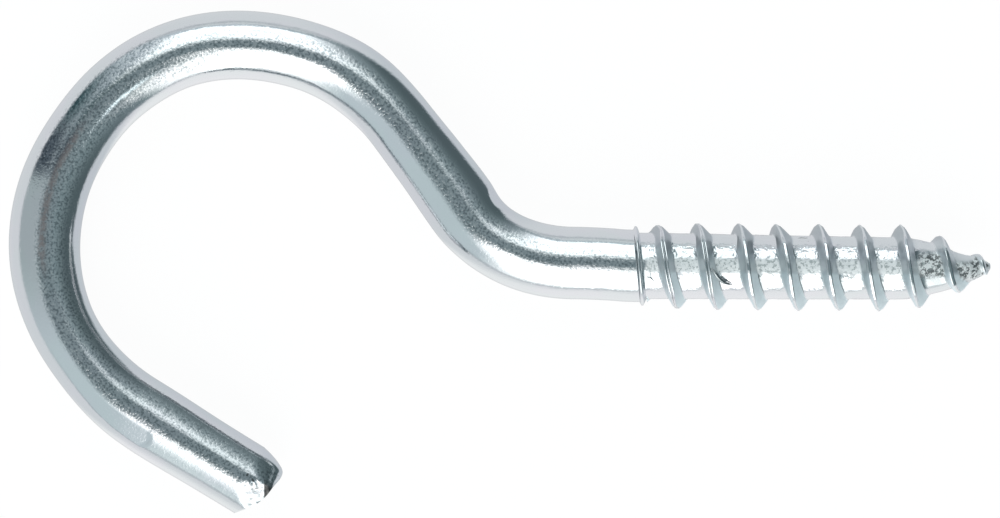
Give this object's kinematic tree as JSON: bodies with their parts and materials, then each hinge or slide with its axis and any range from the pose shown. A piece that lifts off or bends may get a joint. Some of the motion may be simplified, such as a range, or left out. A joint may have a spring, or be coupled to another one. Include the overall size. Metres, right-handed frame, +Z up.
{
  "type": "screw hook",
  "caption": "Open round hook bent from steel wire, with a wood-screw thread and a gimlet point on its straight shank, bright zinc plated.",
  "frame": {"origin": "on the screw axis, at the ring that ends the plain shank and begins the thread", "axes": "+X along the screw axis towards the point, +Y towards the side that the bowl bulges to, +Z up off the surface that the hook lies on"},
  "size_m": [0.0802, 0.0412, 0.007],
  "materials": {
    "zinc_plated_steel": "bright zinc plating, lightly tumbled, with a fine grain"
  },
  "bodies": {
    "root": {"screw_hook": "zinc_plated_steel"}
  },
  "joints": []
}
